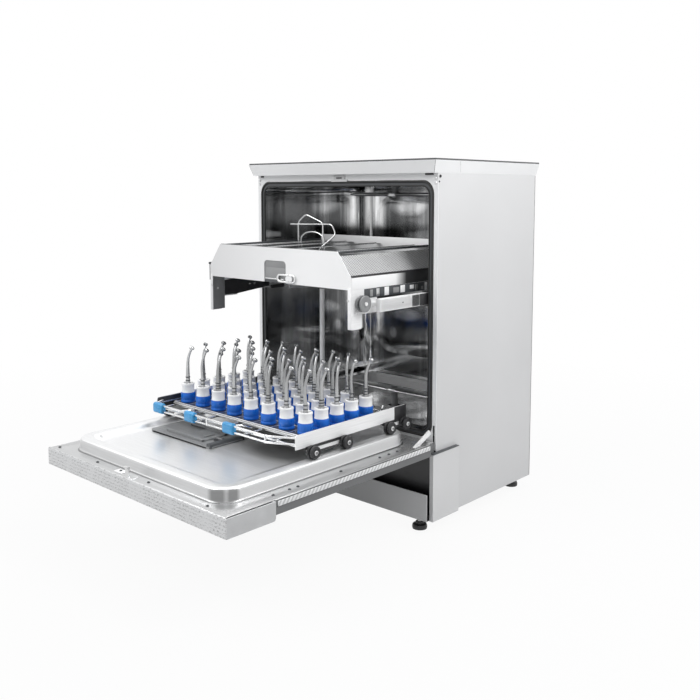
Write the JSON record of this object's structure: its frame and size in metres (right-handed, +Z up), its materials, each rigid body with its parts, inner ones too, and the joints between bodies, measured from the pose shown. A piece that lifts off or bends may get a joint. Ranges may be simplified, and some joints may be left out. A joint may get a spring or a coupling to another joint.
{
  "type": "dental instrument washer",
  "caption": "Free-standing washer for dental instruments with its drop-down door open, a wheeled load carrier with upright handpieces and an upper basket on pull-out rails.",
  "frame": {"origin": "on the floor, under the middle of the box that holds the machine with its door open", "axes": "+Z up, -Y out of the front where the door opens, +X to the right of a person facing the machine"},
  "size_m": [0.618, 1.056, 0.85],
  "materials": {
    "lid_paint": "satin white enamel",
    "dark_edge": "dark grey matt edge sheet",
    "casing_paint": "satin light grey enamel",
    "frame_steel": "satin stainless sheet",
    "tub_steel": "polished stainless sheet",
    "liner_steel": "satin stainless pressing",
    "gasket_rubber": "black elastomer",
    "black_plastic": "matt black moulding",
    "grey_plastic": "matt mid grey moulding",
    "light_plastic": "matt light grey moulding",
    "strip_silver": "satin silver bare strip",
    "window": "smoked glossy window",
    "basket_steel": "satin stainless sheet and wire",
    "blue_plastic": "blue moulded sleeve",
    "light_blue": "light blue moulded clip",
    "white_plastic": "white moulding",
    "handpiece_metal": "polished metal",
    "pump_metal": "cast aluminium and steel can",
    "board": "green circuit board"
  },
  "bodies": {
    "cabinet": {"lid": "lid_paint", "lid_cap": "dark_edge", "side_panels": "casing_paint", "rear_panel": "casing_paint", "front_frame": "frame_steel", "tub": "tub_steel", "door_gasket": "gasket_rubber", "base_pan": "black_plastic", "kick_plate": "casing_paint", "side_wings": "casing_paint", "feet": "black_plastic", "lock_housing": "black_plastic", "rail_guides": "black_plastic", "sump": "grey_plastic", "filter_cup": "light_plastic", "circulation_pump": "pump_metal", "drain_pump": "grey_plastic", "riser_duct": "grey_plastic", "heater": "tub_steel", "softener": "white_plastic", "water_inlet": "grey_plastic", "drain_spigot": "grey_plastic", "cable_gland": "black_plastic", "hinge_brackets": "frame_steel"},
    "door": {"door_panel": "grey_plastic", "fascia": "light_plastic", "control_strip": "strip_silver", "display_window": "window", "control_board": "board", "door_liner": "liner_steel", "dispenser": "light_plastic", "latch_hook": "frame_steel", "hinge_arms": "frame_steel"},
    "basket_lower": {"lower_side_plates": "basket_steel", "lower_wires": "basket_steel", "lower_clips": "light_blue", "socket_tray": "basket_steel", "feed_mast": "white_plastic", "sleeve_bases": "blue_plastic", "sleeve_caps": "white_plastic", "handpieces": "handpiece_metal"},
    "basket_upper": {"upper_front_plate": "basket_steel", "upper_frame": "basket_steel", "upper_mesh": "basket_steel", "wire_insert": "basket_steel"},
    "upper_rails": {"upper_rails": "frame_steel"},
    "guide_wheels": {"guide_wheels": "light_plastic"},
    "basket_latch": {"basket_latch": "basket_steel"},
    "lower_spray_arm": {"lower_spray_arm": "basket_steel"},
    "ceiling_spray_arm": {"ceiling_spray_arm": "basket_steel"},
    "upper_spray_arm": {"upper_spray_arm": "black_plastic"},
    "dispenser_cover": {"dispenser_cover": "light_plastic"},
    "rinse_cap": {"rinse_cap": "black_plastic"},
    "power_button": {"power_button": "black_plastic"},
    "start_button": {"start_button": "black_plastic"},
    "lock_bolt": {"lock_bolt": "frame_steel"},
    "lower_wheels_1": {"lower_wheels_1": "black_plastic"},
    "lower_wheels_2": {"lower_wheels_2": "black_plastic"},
    "lower_wheels_3": {"lower_wheels_3": "black_plastic"},
    "lower_wheels_4": {"lower_wheels_4": "black_plastic"}
  },
  "joints": [
    {"name": "door_hinge", "type": "hinge", "parent": "cabinet", "child": "door", "pos_m": [0, 0.0805, 0.2045], "axis": [1, 0, 0], "range_deg": [-10, 0]},
    {"name": "basket_lower_slide", "type": "slide", "parent": "door", "child": "basket_lower", "axis": [0, 1, 0], "range_m": [0, 0.428]},
    {"name": "basket_upper_slide", "type": "slide", "parent": "cabinet", "child": "basket_upper", "axis": [0, 1, 0], "range_m": [0, 0.264]},
    {"name": "rail_slide", "type": "slide", "parent": "cabinet", "child": "upper_rails", "axis": [0, 1, 0], "range_m": [0, 0.2071]},
    {"name": "wheel_guide_spin", "type": "hinge", "parent": "basket_upper", "child": "guide_wheels", "pos_m": [0, -0.096, 0.54], "axis": [1, 0, 0], "continuous": true},
    {"name": "latch_slide", "type": "slide", "parent": "basket_upper", "child": "basket_latch", "axis": [-1, 0, 0], "range_m": [0, 0.006]},
    {"name": "arm_lower_spin", "type": "hinge", "parent": "cabinet", "child": "lower_spray_arm", "pos_m": [0, 0.304, 0.248], "axis": [0, 0, 1], "continuous": true},
    {"name": "arm_ceiling_spin", "type": "hinge", "parent": "cabinet", "child": "ceiling_spray_arm", "pos_m": [0, 0.304, 0.769], "axis": [0, 0, 1], "continuous": true},
    {"name": "arm_upper_spin", "type": "hinge", "parent": "basket_upper", "child": "upper_spray_arm", "pos_m": [0, 0.04, 0.5595], "axis": [0, 0, 1], "continuous": true},
    {"name": "cover_slide", "type": "slide", "parent": "door", "child": "dispenser_cover", "axis": [-1, 0, 0], "range_m": [0, 0.058]},
    {"name": "rinse_cap_turn", "type": "hinge", "parent": "door", "child": "rinse_cap", "pos_m": [-0.018, -0.278, 0.23], "axis": [0, 0, 1], "range_deg": [0, 90]},
    {"name": "button_power_press", "type": "slide", "parent": "door", "child": "power_button", "axis": [0, 0, 1], "range_m": [0, 0.0015], "stiffness_N_per_m": 600},
    {"name": "button_start_press", "type": "slide", "parent": "door", "child": "start_button", "axis": [0, 0, 1], "range_m": [0, 0.0015], "stiffness_N_per_m": 600},
    {"name": "lock_bolt_slide", "type": "slide", "parent": "cabinet", "child": "lock_bolt", "axis": [1, 0, 0], "range_m": [0, 0.012]},
    {"name": "wheel_lower_1_spin", "type": "hinge", "parent": "basket_lower", "child": "lower_wheels_1", "pos_m": [0, -0.25, 0.2535], "axis": [1, 0, 0], "range_deg": [-1820, 5]},
    {"name": "wheel_lower_2_spin", "type": "hinge", "parent": "basket_lower", "child": "lower_wheels_2", "pos_m": [0, -0.152, 0.2535], "axis": [1, 0, 0], "range_deg": [-1820, 5]},
    {"name": "wheel_lower_3_spin", "type": "hinge", "parent": "basket_lower", "child": "lower_wheels_3", "pos_m": [0, -0.01, 0.2535], "axis": [1, 0, 0], "range_deg": [-1820, 5]},
    {"name": "wheel_lower_4_spin", "type": "hinge", "parent": "basket_lower", "child": "lower_wheels_4", "pos_m": [0, 0.044, 0.2535], "axis": [1, 0, 0], "range_deg": [-1820, 5]}
  ],
  "couplings": [
    {"joint": "rail_slide", "follows": "basket_upper_slide", "ratio": 0.7841},
    {"joint": "wheel_lower_1_spin", "follows": "basket_lower_slide", "rad_per_m": -74.074},
    {"joint": "wheel_lower_2_spin", "follows": "basket_lower_slide", "rad_per_m": -74.074},
    {"joint": "wheel_lower_3_spin", "follows": "basket_lower_slide", "rad_per_m": -74.074},
    {"joint": "wheel_lower_4_spin", "follows": "basket_lower_slide", "rad_per_m": -74.074}
  ]
}
